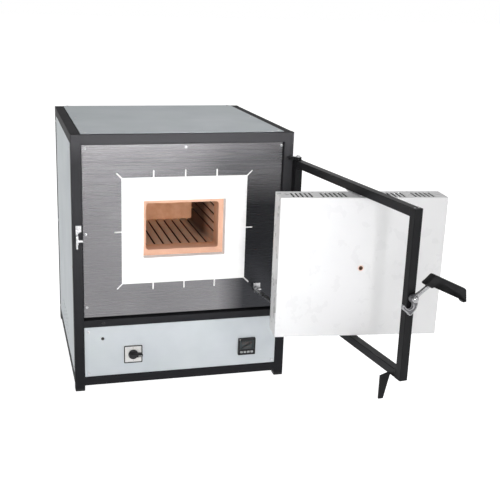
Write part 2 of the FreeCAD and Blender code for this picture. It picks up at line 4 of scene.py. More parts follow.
import bmesh
import bpy
import numpy as np
from mathutils import Matrix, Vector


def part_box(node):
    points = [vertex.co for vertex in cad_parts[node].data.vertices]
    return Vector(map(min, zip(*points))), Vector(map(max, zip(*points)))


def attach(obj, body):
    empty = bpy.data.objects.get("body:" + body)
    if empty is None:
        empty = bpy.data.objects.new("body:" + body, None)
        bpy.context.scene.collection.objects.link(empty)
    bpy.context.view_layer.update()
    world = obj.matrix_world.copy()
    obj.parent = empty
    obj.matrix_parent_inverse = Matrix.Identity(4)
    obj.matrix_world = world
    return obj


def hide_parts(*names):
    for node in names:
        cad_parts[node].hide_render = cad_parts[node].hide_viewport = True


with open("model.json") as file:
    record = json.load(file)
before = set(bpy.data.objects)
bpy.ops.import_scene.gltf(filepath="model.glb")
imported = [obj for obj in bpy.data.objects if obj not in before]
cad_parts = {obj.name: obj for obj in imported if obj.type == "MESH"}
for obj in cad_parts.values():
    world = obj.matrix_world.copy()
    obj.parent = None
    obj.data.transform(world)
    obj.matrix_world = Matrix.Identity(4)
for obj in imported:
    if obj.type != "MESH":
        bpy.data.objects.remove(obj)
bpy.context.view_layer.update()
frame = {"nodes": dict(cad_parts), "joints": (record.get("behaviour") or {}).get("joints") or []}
nodes = frame["nodes"]
joints = {joint["name"]: joint for joint in frame["joints"]}


# ---- Shooting table and room
# A wide white table lit from below; softboxes in front, left, right, above and behind;
# a narrow lamp aimed into the chamber; a room that is white low down and dims upward.
def new_finish(name, colour, rough, metal=0.0, coat=0.0, specular=0.5):
    """A material with one shader; returns the material."""
    finish = bpy.data.materials.new(name)
    finish.use_nodes = True
    shader = finish.node_tree.nodes["Principled BSDF"]
    shader.inputs["Base Color"].default_value = (*colour, 1.0)
    shader.inputs["Roughness"].default_value = rough
    shader.inputs["Metallic"].default_value = metal
    shader.inputs["Coat Weight"].default_value = coat
    shader.inputs["Coat Roughness"].default_value = 0.15
    shader.inputs["Specular IOR Level"].default_value = specular
    return finish


table_half = 40.0
table_white = new_finish("table_white", (0.40, 0.40, 0.40), 0.9)
table_glow = table_white.node_tree.nodes["Principled BSDF"]
table_glow.inputs["Emission Color"].default_value = (1.0, 1.0, 1.0, 1.0)
table_glow.inputs["Emission Strength"].default_value = 0.95
table_mesh = bpy.data.meshes.new("table")
table_mesh.from_pydata([(-table_half, -table_half, 0), (table_half, -table_half, 0),
                        (table_half, table_half, 0), (-table_half, table_half, 0)], [], [(0, 1, 2, 3)])
table_mesh.materials.append(table_white)
table = bpy.data.objects.new("table", table_mesh)
bpy.context.scene.collection.objects.link(table)


def softbox(name, place, size, power, aim=(0.0, 0.0, 0.4)):
    """A square area light at a place, turned to face a point."""
    lamp = bpy.data.lights.new(name, "AREA")
    lamp.shape = "SQUARE"
    lamp.size = size
    lamp.energy = power
    stand = bpy.data.objects.new(name, lamp)
    bpy.context.scene.collection.objects.link(stand)
    stand.location = place
    back = np.array(place) - np.array(aim)
    yaw = math.atan2(back[0], -back[1])
    tilt = math.atan2(math.hypot(back[0], back[1]), back[2])
    stand.rotation_euler = (tilt, 0.0, yaw)
    return lamp


softbox("front_light", (-0.3, -3.5, 2.0), 2.4, 27)
softbox("chamber_light", (0.02, -2.9, 0.86), 0.35, 0.72, (0.0, 0.0, 0.42)).spread = math.radians(24)
softbox("left_light", (-3.2, -0.6, 2.0), 1.8, 3)
softbox("right_light", (2.2, -2.8, 1.7), 1.8, 20)
softbox("top_light", (0.2, -0.1, 3.4), 2.0, 19)
softbox("rear_light", (1.4, 3.6, 3.2), 2.0, 14)

room = bpy.data.worlds.new("room")
room.use_nodes = True
air = room.node_tree
way = air.nodes.new("ShaderNodeTexCoord")
height = air.nodes.new("ShaderNodeSeparateXYZ")
fade = air.nodes.new("ShaderNodeMapRange")
for socket, value in (("From Min", 0.03), ("From Max", 0.25), ("To Min", 1.0), ("To Max", 0.30)):
    fade.inputs[socket].default_value = value
air.links.new(way.outputs["Generated"], height.inputs["Vector"])
air.links.new(height.outputs["Z"], fade.inputs["Value"])
air.links.new(fade.outputs["Result"], air.nodes["Background"].inputs["Strength"])
air.nodes["Background"].inputs["Color"].default_value = (1.0, 1.0, 1.0, 1.0)
bpy.context.scene.world = room
bpy.context.scene.view_settings.view_transform = "Standard"

# ---- Camera
# A short telephoto in front of the kiln, a little left of it and above its top, turned to
# the right and tilted down; it is rolled a little, and its frame is shifted to the right.
turn, tilt, roll = 0.254, -0.279, 0.027
forward = np.array([math.sin(turn) * math.cos(tilt), math.cos(turn) * math.cos(tilt), math.sin(tilt)])
level = np.array([math.cos(turn), -math.sin(turn), 0.0])
upright = np.cross(level, forward)
across = math.cos(roll) * level + math.sin(roll) * upright
upward = math.cos(roll) * upright - math.sin(roll) * level
lens = bpy.data.cameras.new("lens")
lens.sensor_width = 36.0
lens.lens = 61.46
lens.shift_x = 0.064
lens.shift_y = -0.0142
camera = bpy.data.objects.new("camera", lens)
bpy.context.scene.collection.objects.link(camera)
columns = np.column_stack([across, upward, -forward, (-0.44445, -2.33448, 0.99523)])
camera.matrix_world = Matrix([*columns.tolist(), [0, 0, 0, 1]])
bpy.context.scene.camera = camera


# ---- Cabinet frame
# Square steel tube welded at the corners, then coated with black baked powder.
# The coat is dull and faintly pebbled; a painted sheen makes the front faces paler,
# brightest near the top, and painted shade darkens it low down; the welds show as low beads under it.
def signal_from(finish, node, output):
    """The output of a new node in a finish's graph, and the graph."""
    graph = finish.node_tree
    made = graph.nodes.new(node)
    return graph, made, made.outputs[output]


def cloud(finish, size, detail=2.0, stretch=(1.0, 1.0, 1.0), turn=(0.0, 0.0, 0.0)):
    """Noise with patches about size metres across, fixed to the object's own axes."""
    graph, noise, value = signal_from(finish, "ShaderNodeTexNoise", "Fac")
    place = graph.nodes.new("ShaderNodeTexCoord")
    mapping = graph.nodes.new("ShaderNodeMapping")
    mapping.inputs["Scale"].default_value = stretch
    mapping.inputs["Rotation"].default_value = turn
    noise.inputs["Scale"].default_value = 1.0 / size
    noise.inputs["Detail"].default_value = detail
    graph.links.new(place.outputs["Object"], mapping.inputs["Vector"])
    graph.links.new(mapping.outputs["Vector"], noise.inputs["Vector"])
    return value


def along(finish, axis):
    """The object's own coordinate along one axis, in metres."""
    graph, split, value = signal_from(finish, "ShaderNodeSeparateXYZ", axis)
    place = graph.nodes.new("ShaderNodeTexCoord")
    graph.links.new(place.outputs["Object"], split.inputs["Vector"])
    return value


def spread(finish, signal, low, high, out_low=0.0, out_high=1.0):
    """Maps a signal between two levels to a new range, held at its ends."""
    graph, span, value = signal_from(finish, "ShaderNodeMapRange", "Result")
    for socket, level_ in zip(("From Min", "From Max", "To Min", "To Max"), (low, high, out_low, out_high)):
        span.inputs[socket].default_value = level_
    graph.links.new(signal, span.inputs["Value"])
    return value


def both(finish, one, other, how="MULTIPLY"):
    """Two signals put together."""
    graph, sum_, value = signal_from(finish, "ShaderNodeMath", "Value")
    sum_.operation = how
    graph.links.new(one, sum_.inputs[0])
    graph.links.new(other, sum_.inputs[1])
    return value


def tint(finish, signal, first, second):
    """Blends to a second colour by a signal; the first is a colour, or None for what is there."""
    graph = finish.node_tree
    colour = graph.nodes["Principled BSDF"].inputs["Base Color"]
    blend = graph.nodes.new("ShaderNodeMix")
    blend.data_type = "RGBA"
    if first is None:
        graph.links.new(colour.links[0].from_socket, blend.inputs[6])
    else:
        blend.inputs[6].default_value = (*first, 1.0)
    blend.inputs[7].default_value = (*second, 1.0)
    graph.links.new(signal, blend.inputs["Factor"])
    graph.links.new(blend.outputs[2], colour)


def dapple(finish, size, detail, first, second):
    """Two colours in soft patches about size metres across."""
    tint(finish, spread(finish, cloud(finish, size, detail), 0.3, 0.7), first, second)


def gloss(finish, signal, low, high):
    """Lets roughness drift between two values with a signal."""
    value = spread(finish, signal, 0.3, 0.7, low, high)
    finish.node_tree.links.new(value, finish.node_tree.nodes["Principled BSDF"].inputs["Roughness"])


def relief(finish, signal, depth):
    """Raises the surface by a signal; several calls add up."""
    graph = finish.node_tree
    normal = graph.nodes["Principled BSDF"].inputs["Normal"]
    bump = graph.nodes.new("ShaderNodeBump")
    bump.inputs["Distance"].default_value = depth
    graph.links.new(signal, bump.inputs["Height"])
    if normal.is_linked:
        graph.links.new(normal.links[0].from_socket, bump.inputs["Normal"])
    graph.links.new(bump.outputs["Normal"], normal)


def powder_coat(name, dark, light, rough, pebble, specular=0.5):
    """Baked powder paint: drifting colour, pebbled relief of about a millimetre."""
    finish = new_finish(name, light, rough, specular=specular)
    dapple(finish, 0.12, 3.0, dark, light)
    gloss(finish, cloud(finish, 0.03, 3.0), rough - 0.015, rough + 0.02)
    relief(finish, cloud(finish, 0.0018, 1.0), pebble)
    return finish


def coat(finish, *names):
    """Gives CAD nodes a finish."""
    for name in names:
        nodes[name].data.materials[0] = finish


def shell(grid, close_rows=False, close_columns=False):
    """Points and quads of a grid of points, joined to its first row or column where it closes."""
    rows, cols = grid.shape[:2]
    i = np.arange(rows if close_rows else rows - 1)[:, None]
    j = np.arange(cols if close_columns else cols - 1)[None, :]
    i_next, j_next = (i + 1) % rows, (j + 1) % cols
    quads = np.stack([i * cols + j, i_next * cols + j, i_next * cols + j_next, i * cols + j_next], axis=-1)
    return grid.reshape(-1, 3), quads.reshape(-1, 4)


def piece(name, shells, finish, body, sharp=35.0, cap=False):
    """One object from shells: doubles merged, open loops capped if asked, faces turned outward."""
    starts = np.cumsum([0] + [len(points) for points, _ in shells])
    points = np.concatenate([points for points, _ in shells])
    quads = np.concatenate([quads + start for (_, quads), start in zip(shells, starts)])
    mesh = bpy.data.meshes.new(name)
    mesh.from_pydata(points.tolist(), [], quads.tolist())
    work = bmesh.new()
    work.from_mesh(mesh)
    bmesh.ops.remove_doubles(work, verts=work.verts, dist=1e-6)
    if cap:
        caps = bmesh.ops.holes_fill(work, edges=[edge for edge in work.edges if edge.is_boundary])
        bmesh.ops.triangulate(work, faces=caps["faces"])
    bmesh.ops.recalc_face_normals(work, faces=work.faces)
    work.to_mesh(mesh)
    work.free()
    mesh.shade_smooth()
    mesh.set_sharp_from_angle(angle=math.radians(sharp))
    mesh.materials.append(finish)
    made = bpy.data.objects.new(name, mesh)
    bpy.context.scene.collection.objects.link(made)
    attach(made, body)
    return made


def unit(vector):
    """A vector of length one."""
    vector = np.asarray(vector, float)
    return vector / np.linalg.norm(vector)


def bead(start, end, out, width=0.0028, rise=0.0007, pitch=0.0022):
    """A weld bead: half an ellipse carried along a line, rippled once each pitch, tapered at its ends."""
    start, end, out = np.array(start, float), np.array(end, float), unit(out)
    length = np.linalg.norm(end - start)
    side = np.cross(unit(end - start), out)
    s = np.linspace(0.0, 1.0, max(8, int(length / pitch * 4)))[:, None, None]
    turn_ = np.linspace(-0.25, np.pi + 0.25, 9)[None, :, None]
    taper = np.sqrt(np.clip(1.0 - (2.0 * s - 1.0) ** 8, 0.0, 1.0))
    ripple = 1.0 + 0.18 * np.sin(2.0 * np.pi * s * length / pitch - 1.5 * np.cos(turn_))
    grid = start + (end - start) * s + taper * (width * np.cos(turn_) * side + rise * ripple * np.sin(turn_) * out)
    return shell(grid)


frame_paint = powder_coat("frame_paint", (0.018, 0.018, 0.020), (0.028, 0.027, 0.030), 0.50, 0.00004, 0.03)
front_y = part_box("post_front_left")[0][1]
# painted sheen: the front faces of the tubes are tinted paler in place of the floor's reflection
painted_front_sheen = spread(frame_paint, along(frame_paint, "Y"), front_y + 0.0004, front_y + 0.0012, 1.0, 0.0)
tint(frame_paint, painted_front_sheen, None, (0.040, 0.040, 0.043))
# painted shade: the frame darkens toward the bottom, where less light falls
painted_low_shade = spread(frame_paint, along(frame_paint, "Z"), 0.10, 0.50, 0.75, 0.0)
tint(frame_paint, painted_low_shade, None, (0.010, 0.010, 0.012))
# painted highlight: the front faces near the top are tinted paler still
painted_top_highlight = spread(frame_paint, along(frame_paint, "Z"), 0.60, 0.65)
tint(frame_paint, both(frame_paint, painted_front_sheen, painted_top_highlight), None, (0.072, 0.071, 0.076))
coat(frame_paint, "post_front_left", "post_front_right", "post_rear_left", "post_rear_right", "top_rails",
     "bottom_rails", "middle_rail")
(x_left, y_front, _), (x_right, y_rear, _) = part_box("top_rails")
(_, _, z_top_low), (_, _, z_top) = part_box("top_rails")
tube = z_top - z_top_low
(_, _, mid_low), (_, _, mid_high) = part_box("middle_rail")
(_, _, low_low), (_, _, low_high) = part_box("bottom_rails")
inset = 0.002
welds = []
for x_edge, inward in ((x_left, 1.0), (x_right, -1.0)):
    x_inner = x_edge + inward * tube
    for y_face, out in ((y_front, (0, -1, 0)), (y_rear, (0, 1, 0))):
        welds.append(bead((x_edge + inward * inset, y_face, z_top - inset), (x_inner, y_face, z_top - tube),
                          out, 0.0012, 0.0003))
        welds.append(bead((x_inner, y_face, low_low + inset), (x_inner, y_face, low_high - inset),
                          out, 0.0018, 0.0004))
    for y_inner in (y_front + tube, y_rear - tube):
        welds.append(bead((x_edge + inward * 0.003, y_inner, z_top), (x_inner, y_inner, z_top),
                          (0, 0, 1), 0.0016, 0.0004))
        welds.append(bead((x_edge, y_inner, low_low + inset), (x_edge, y_inner, low_high - inset),
                          (-inward, 0, 0), 0.0018, 0.0004))
    welds.append(bead((x_inner, y_front, mid_low + inset), (x_inner, y_front, mid_high - inset),
                      (0, -1, 0), 0.0018, 0.0004))
piece("cabinet_welds", welds, frame_paint, "cabinet")

# ---- Cabinet sheets
# Steel sheet with a light grey powder coat, smoother than the frame's, held by pan-head
# screws; the pan, the shelf inside and the door's rear plate are bare galvanised sheet.
sheet_paint = powder_coat("sheet_paint", (0.47, 0.505, 0.53), (0.55, 0.58, 0.605), 0.42, 0.00002, 0.04)
# painted sheen: soft diagonal bands of paler tint stand in for reflections on the grey coat
painted_sheen = cloud(sheet_paint, 0.16, 2.0, (1.0, 0.25, 1.0), (0.0, 0.0, 0.7))
tint(sheet_paint, spread(sheet_paint, painted_sheen, 0.42, 0.72, 0.0, 0.5), None, (0.50, 0.55, 0.55))
coat(sheet_paint, "top_cover", "side_panel_left", "side_panel_right", "rear_panel", "control_panel")
galvanised = new_finish("galvanised", (0.55, 0.57, 0.58), 0.4, 0.9)
spangle = galvanised.node_tree.nodes.new("ShaderNodeTexVoronoi")
spangle.inputs["Scale"].default_value = 90.0
own_axes = galvanised.node_tree.nodes.new("ShaderNodeTexCoord")
galvanised.node_tree.links.new(own_axes.outputs["Object"], spangle.inputs["Vector"])
tint(galvanised, spread(galvanised, spangle.outputs["Color"], 0.0, 1.0), (0.42, 0.44, 0.45), (0.62, 0.64, 0.65))
gloss(galvanised, cloud(galvanised, 0.02, 4.0), 0.3, 0.5)
coat(galvanised, "floor_pan", "divider_shelf", "door_rear_plate")


# ---- Screws
# Zinc-plated pan-head screws with a pressed cross; they hold the sheets, the front
# plate, the control panel and the keeper.
def pan_head(foot, axis, radius=0.0036, height=0.0022, twist=0.4):
    """A screw head: a dome that falls with the square of the distance, a rolled rim, and a cross
    that is pressed in where the smaller of the two sideways distances is short."""
    axis = unit(axis)
    side = unit(np.cross(axis, (0.31, 0.83, 0.47)))
    other = np.cross(axis, side)
    angle = np.linspace(0, 2 * np.pi, 48, endpoint=False)[:, None]
    share = np.array([0, 0.09, 0.18, 0.28, 0.40, 0.50, 0.56, 0.62, 0.78, 0.90, 0.97, 1.0, 1.0, 0.98])[None, :]
    fall = np.array([0, 0, 0, 0, 0, 0, 0, 0, 0, 0.0, 0.20, 0.45, 0.95, 1.08])[None, :]
    right, up = share * np.cos(angle), share * np.sin(angle)
    narrow = np.minimum(np.abs(right), np.abs(up))
    wide = np.maximum(np.abs(right), np.abs(up))
    cross = np.clip((0.16 - narrow) / 0.08, 0, 1) * np.clip((0.60 - wide) / 0.12, 0, 1)
    rise = height * (1.0 - 0.28 * share ** 2) * (1 - fall) - 0.0011 * cross
    turned_ = angle + twist
    flat = radius * share
    grid = (np.array(foot) + (flat * np.cos(turned_))[..., None] * side + (flat * np.sin(turned_))[..., None] * other
            + rise[..., None] * axis)
    return shell(grid, close_rows=True)


def box_points(node, inset_a, inset_b, axis_a, axis_b, middles_a=(), middles_b=()):
    """Pairs of coordinates on two axes, inset from a node's edges, with any middle ones between."""
    low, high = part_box(node)
    one = [low[axis_a] + inset_a, *middles_a, high[axis_a] - inset_a]
    two = [low[axis_b] + inset_b, *middles_b, high[axis_b] - inset_b]
    return [(a, b) for a in one for b in two]


zinc = new_finish("zinc", (0.62, 0.62, 0.63), 0.32, 1.0)
tint(zinc, spread(zinc, cloud(zinc, 0.004, 4.0), 0.35, 0.65), (0.50, 0.50, 0.51), (0.70, 0.70, 0.71))
gloss(zinc, cloud(zinc, 0.006, 4.0), 0.22, 0.42)
cover_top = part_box("top_cover")[1][2]
left_face, right_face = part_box("side_panel_left")[0][0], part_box("side_panel_right")[1][0]
rear_face, control_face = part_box("rear_panel")[1][1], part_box("control_panel")[0][1]
plate_face, keeper_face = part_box("front_plate")[0][1], y_front - 0.003
middle_screw_z = 0.330
heads = [pan_head((x, y, cover_top), (0, 0, 1)) for x, y in box_points("top_cover", 0.012, 0.010, 0, 1, (), (0.0,))]
side_points = box_points("side_panel_left", 0.012, 0.014, 1, 2, (), (middle_screw_z,))
heads += [pan_head((left_face, y, z), (-1, 0, 0)) for y, z in side_points]
heads += [pan_head((right_face, y, z), (1, 0, 0)) for y, z in side_points]
rear_points = box_points("rear_panel", 0.012, 0.014, 0, 2, (0.0,), (middle_screw_z,))
heads += [pan_head((x, rear_face, z), (0, 1, 0)) for x, z in rear_points]
plate_points = [(x, z) for x in (-0.249, 0.253) for z in (0.228, 0.421, 0.637)] + [(0.003, 0.637)]
heads += [pan_head((x, plate_face, z), (0, -1, 0), twist=x * 9) for x, z in plate_points]
heads += [pan_head((x, control_face, z), (0, -1, 0), twist=z * 9) for x in (-0.247, 0.250) for z in (0.047, 0.162)]
keeper_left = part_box("keeper")[0][0]
keeper_points = [(keeper_left + 0.0035, 0.439), (keeper_left + 0.0105, 0.439), (keeper_left + 0.0025, 0.393)]
heads += [pan_head((x, keeper_face, z), (0, -1, 0), 0.0023, 0.0014) for x, z in keeper_points]
screws = piece("cabinet_screw_heads", heads, zinc, "cabinet", sharp=28.0)
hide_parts("cabinet_screws")

# ---- Front plate
# Stainless sheet brushed from side to side, with a painted highlight paling its top and
# painted shade, the open door's dark reflection, at its lower right; relief slots round its window let it grow when
# the kiln is hot.
stainless = new_finish("stainless", (0.29, 0.29, 0.30), 0.26, 1.0)
grain = cloud(stainless, 0.003, 3.0, (0.012, 1.0, 1.0))
dapple(stainless, 0.22, 2.0, (0.190, 0.186, 0.195), (0.225, 0.221, 0.230))
# painted highlight: the top of the plate is tinted paler
tint(stainless, spread(stainless, along(stainless, "Z"), 0.600, 0.645, 0.0, 0.3), None, (0.34, 0.325, 0.335))
# painted shade: the lower right is darkened where the open door is reflected
painted_door_shade = both(stainless, spread(stainless, along(stainless, "X"), 0.095, 0.165),
                 spread(stainless, along(stainless, "Z"), 0.48, 0.58, 0.92, 0.0))
tint(stainless, painted_door_shade, None, (0.026, 0.027, 0.031))
gloss(stainless, grain, 0.24, 0.30)
relief(stainless, grain, 0.000005)
coat(stainless, "front_plate")

# ---- White boards and wool
# Pressed ceramic fibre, chalky white with short fibres and small pits; the door's
# plug and the wool round the muffle are the same material.
fibre = new_finish("fibre", (0.87, 0.87, 0.85), 0.95, specular=0.2)
tint(fibre, spread(fibre, cloud(fibre, 0.05, 5.0), 0.35, 0.65), (0.84, 0.835, 0.825), (0.90, 0.895, 0.89))
relief(fibre, cloud(fibre, 0.0030, 5.0), 0.00018)
relief(fibre, cloud(fibre, 0.0008, 2.0, (1.0, 1.0, 0.2)), 0.00006)
coat(fibre, "front_board", "door_plug", "insulation")

# ---- Muffle
# One block of fired ceramic with ribs between keyhole grooves.  The collar pales toward
# the mouth; the ribs are pale and speckled, and painted shade darkens their grooves and the rear right wall.
terracotta = new_finish("terracotta", (0.55, 0.25, 0.13), 0.88, specular=0.25)
dapple(terracotta, 0.022, 6.0, (0.66, 0.33, 0.18), (0.76, 0.42, 0.25))
muffle_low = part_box("muffle")[0]
collar_end = muffle_low[1] + 0.0502
chamber_half, chamber_floor, muffle_x = 0.0975, 0.360, 0.0015
back_wall = 0.0895
inside = spread(terracotta, along(terracotta, "Y"), collar_end - 0.001, collar_end)
before_back = spread(terracotta, along(terracotta, "Y"), back_wall - 0.0095, back_wall, 1.0, 0.0)
on_ribs = both(terracotta, inside, before_back)
faded = both(terracotta, on_ribs, spread(terracotta, cloud(terracotta, 0.009, 4.0), 0.25, 0.75, 0.55, 1.0))
tint(terracotta, faded, None, (0.74, 0.46, 0.32))
collar = spread(terracotta, along(terracotta, "Y"), collar_end - 0.052, collar_end - 0.004, 0.75, 0.15)
before_ribs = spread(terracotta, along(terracotta, "Y"), collar_end - 0.001, collar_end, 1.0, 0.0)
tint(terracotta, both(terracotta, collar, before_ribs), None, (0.70, 0.45, 0.34))
speckle = spread(terracotta, cloud(terracotta, 0.0035, 5.0, (1.0, 0.3, 1.0)), 0.42, 0.58)
tint(terracotta, both(terracotta, on_ribs, speckle), None, (0.66, 0.52, 0.40))
# painted shade: the rear of the right wall is darkened as if in shadow
painted_wall_shade = both(terracotta, spread(terracotta, along(terracotta, "X"), 0.060, 0.096),
            spread(terracotta, along(terracotta, "Y"), collar_end + 0.05, collar_end + 0.13, 0.0, 0.86))
tint(terracotta, both(terracotta, painted_wall_shade, before_back), None, (0.075, 0.042, 0.030))
near, deep = 0.0005, 0.0035
right_wall, left_wall = muffle_x + chamber_half, muffle_x - chamber_half
# painted shade: a dark band just behind the floor and side walls darkens the groove recesses
for axis, start, end, first, last in (("Z", chamber_floor - deep, chamber_floor - near, 1.0, 0.0),
                                      ("X", right_wall + near, right_wall + deep, 0.0, 1.0),
                                      ("X", left_wall - deep, left_wall - near, 1.0, 0.0)):
    painted_groove_shade = both(terracotta, on_ribs, spread(terracotta, along(terracotta, axis), start, end, first, last))
    tint(terracotta, painted_groove_shade, None, (0.060, 0.034, 0.025))
relief(terracotta, cloud(terracotta, 0.0014, 4.0), 0.00025)
relief(terracotta, cloud(terracotta, 0.010, 3.0), 0.0006)
coat(terracotta, "muffle", "thermocouple")

# ---- Heating coils
# Resistance wire wound into long coils, one in the round bore under each groove; the
# wire is grey-black with its own oxide.
coil_wire_r = 0.0009
coil_r = 0.0040
coil_pitch = 0.0048
coil_start = muffle_low[1] + 0.053
coil_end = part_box("heating_coils")[1][1]
groove_pitch = 0.0236
groove_sink = 0.013
wall_first = 0.0335


def helix(x, z):
    """A wire tube whose middle line circles the axis through (x, z) once each pitch along Y."""
    count = (coil_end - coil_start) / coil_pitch
    phase = np.linspace(0, 2 * np.pi * count, int(count * 12))[:, None, None]
    around = np.linspace(0, 2 * np.pi, 6, endpoint=False)[None, :, None]
    out = np.concatenate([np.cos(phase), np.zeros_like(phase), np.sin(phase)], axis=2)
    line = np.array([x, coil_start, z]) + coil_r * out + phase * coil_pitch / (2 * np.pi) * np.array([0, 1, 0])
    ring_points = coil_wire_r * (np.cos(around) * out + np.sin(around) * np.array([0, 1, 0]))
    return shell(line + ring_points, close_columns=True)


coil_places = [(muffle_x + groove_pitch * (i - 3.5), chamber_floor - groove_sink) for i in range(8)]
coil_places += [(muffle_x + side * (chamber_half + groove_sink), chamber_floor + wall_first + groove_pitch * i)
                for side in (-1, 1) for i in range(4)]
wire = new_finish("wire", (0.10, 0.085, 0.075), 0.6, 0.6)
dapple(wire, 0.012, 3.0, (0.055, 0.048, 0.045), (0.16, 0.13, 0.115))
gloss(wire, cloud(wire, 0.004), 0.45, 0.7)
coils = piece("wire_coils", [helix(x, z) for x, z in coil_places], wire, "cabinet", cap=True)
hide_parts("heating_coils")


# ---- Temperature controller
# A panel-mounted case of black moulded plastic: raised bezel, tinted window over two
# rows of digits that are off, a status lamp, and four rubber keys with printed marks.
def turned(profile, foot, axis, around=36):
    """(radius, height) pairs turned round an axis that starts at foot."""
    axis = unit(axis)
    side = unit(np.cross(axis, (0.31, 0.83, 0.47)))
    other = np.cross(axis, side)
    angle = np.linspace(0, 2 * np.pi, around, endpoint=False)[:, None, None]
    radius, rise = np.array(profile, float).T[:, None, :, None]
    spoke = np.cos(angle) * side + np.sin(angle) * other
    return shell(np.array(foot) + radius * spoke + rise * axis, close_rows=True)


def rounded(corners, radius, steps=5):
    """A closed outline: each corner gives way to a quadratic curve that starts and ends radius from it,
    or at 0.45 of the side where the side is short."""
    corners = np.array(corners, float)
    back, ahead = np.roll(corners, 1, 0) - corners, np.roll(corners, -1, 0) - corners
    reach_back, reach_ahead = np.linalg.norm(back, axis=1)[:, None], np.linalg.norm(ahead, axis=1)[:, None]
    start = corners + back / reach_back * np.minimum(radius, 0.45 * reach_back)
    end = corners + ahead / reach_ahead * np.minimum(radius, 0.45 * reach_ahead)
    t = np.linspace(0, 1, steps)[None, :, None]
    curve = (1 - t) ** 2 * start[:, None] + 2 * t * (1 - t) * corners[:, None] + t ** 2 * end[:, None]
    return curve.reshape(-1, 2)


def plate(outline, steps, origin, right, up, out):
    """A flat form: the outline shrunk along its own normals, once for each (inset, height) step."""
    tangent = np.roll(outline, -1, 0) - np.roll(outline, 1, 0)
    inward = np.column_stack([-tangent[:, 1], tangent[:, 0]]) / np.linalg.norm(tangent, axis=1)[:, None]
    area = np.sum(outline[:, 0] * np.roll(outline[:, 1], -1) - np.roll(outline[:, 0], -1) * outline[:, 1])
    inset, rise = np.array(steps, float).T[:, :, None]
    flat = outline[None] + inset[..., None] * inward[None] * np.sign(area)
    grid = (np.array(origin) + flat[..., :1] * np.array(right) + flat[..., 1:] * np.array(up)
            + rise[..., None] * np.array(out))
    return shell(grid, close_columns=True)


def rectangle(width, height, x=0.0, y=0.0):
    """The four corners of a rectangle round a middle."""
    return [(x - width / 2, y - height / 2), (x + width / 2, y - height / 2),
            (x + width / 2, y + height / 2), (x - width / 2, y + height / 2)]


black_plastic = new_finish("black_plastic", (0.010, 0.010, 0.011), 0.40, specular=0.25)
dapple(black_plastic, 0.03, 3.0, (0.008, 0.008, 0.009), (0.015, 0.015, 0.016))
gloss(black_plastic, cloud(black_plastic, 0.003), 0.32, 0.48)
relief(black_plastic, cloud(black_plastic, 0.0007), 0.00005)
coat(black_plastic, "foot_glides", "controller_case", "switch_body", "limit_switch", "limit_plunger", "terminal_block")
display_low, display_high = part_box("controller_display")
display_x, display_z = (display_low[0] + display_high[0]) / 2, (display_low[2] + display_high[2]) / 2
display_w, display_h = display_high[0] - display_low[0], display_high[2] - display_low[2]
display_face, print_rise = 0.0012, 0.00006
rightward, upward_, toward = np.array([1.0, 0, 0]), np.array([0, 0, 1.0]), np.array([0, -1.0, 0])
window_glass = new_finish("window_glass", (0.030, 0.040, 0.042), 0.32, specular=0.3)
dapple(window_glass, 0.02, 2.0, (0.026, 0.036, 0.038), (0.040, 0.050, 0.052))
window = piece("display_window", [plate(rounded(rectangle(display_w, display_h), 0.0015),
               [(0.0, 0.0), (0.0, 0.0007), (0.0005, 0.0011), (0.004, display_face)],
               (display_x, display_high[1], display_z), rightward, upward_, toward)],
               window_glass, "cabinet", cap=True)
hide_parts("controller_display")


def digit(x, z, height):
    """Seven bars of one numeral: three level and four upright, each a slim hexagon."""
    width, thick = height * 0.55, height * 0.09
    level_bar = np.array([(-0.42, 0), (-0.34, 1), (0.34, 1), (0.42, 0), (0.34, -1), (-0.34, -1)])
    bars = [(level_bar * (width, thick / 2), (0, k * height / 2)) for k in (-1, 0, 1)]
    upright_bar = np.array([(0, -0.42), (-1, -0.34), (-1, 0.34), (0, 0.42), (1, 0.34), (1, -0.34)])
    bars += [(upright_bar * (thick / 2, height / 2), (a * width / 2, b * height / 4))
             for a in (-1, 1) for b in (-1, 1)]
    return [plate(form + np.array(shift) + (x, z), [(0.0, 0.0), (0.0, print_rise)],
                  (display_x, display_high[1] - display_face, display_z), rightward, upward_, toward)
            for form, shift in bars]


digit_off = new_finish("digit_off", (0.085, 0.045, 0.040), 0.3)
dapple(digit_off, 0.004, 2.0, (0.075, 0.040, 0.036), (0.10, 0.055, 0.048))
rows = [digit(0.0075 * (i - 1.5), 0.0055, 0.0078) for i in range(4)]
rows += [digit(0.0058 * (i - 1.5), -0.0062, 0.0056) for i in range(4)]
piece("display_digits", [bar for row in rows for bar in row], digit_off, "cabinet", cap=True)
key_rubber = new_finish("key_rubber", (0.46, 0.47, 0.47), 0.6)
dapple(key_rubber, 0.004, 3.0, (0.42, 0.43, 0.43), (0.52, 0.53, 0.53))
relief(key_rubber, cloud(key_rubber, 0.0005), 0.00003)
mark_ink = new_finish("mark_ink", (0.05, 0.05, 0.055), 0.5)
dapple(mark_ink, 0.001, 2.0, (0.04, 0.04, 0.045), (0.08, 0.08, 0.085))
arrow_up = [(-0.0012, -0.0008), (0.0012, -0.0008), (0.0, 0.0011)]
marks = {"key_1": rectangle(0.0022, 0.0008), "key_2": [(x, -z) for x, z in arrow_up][::-1], "key_3": arrow_up,
         "key_4": [(-0.0010, 0.0), (0.0, -0.0010), (0.0010, 0.0), (0.0, 0.0010)]}
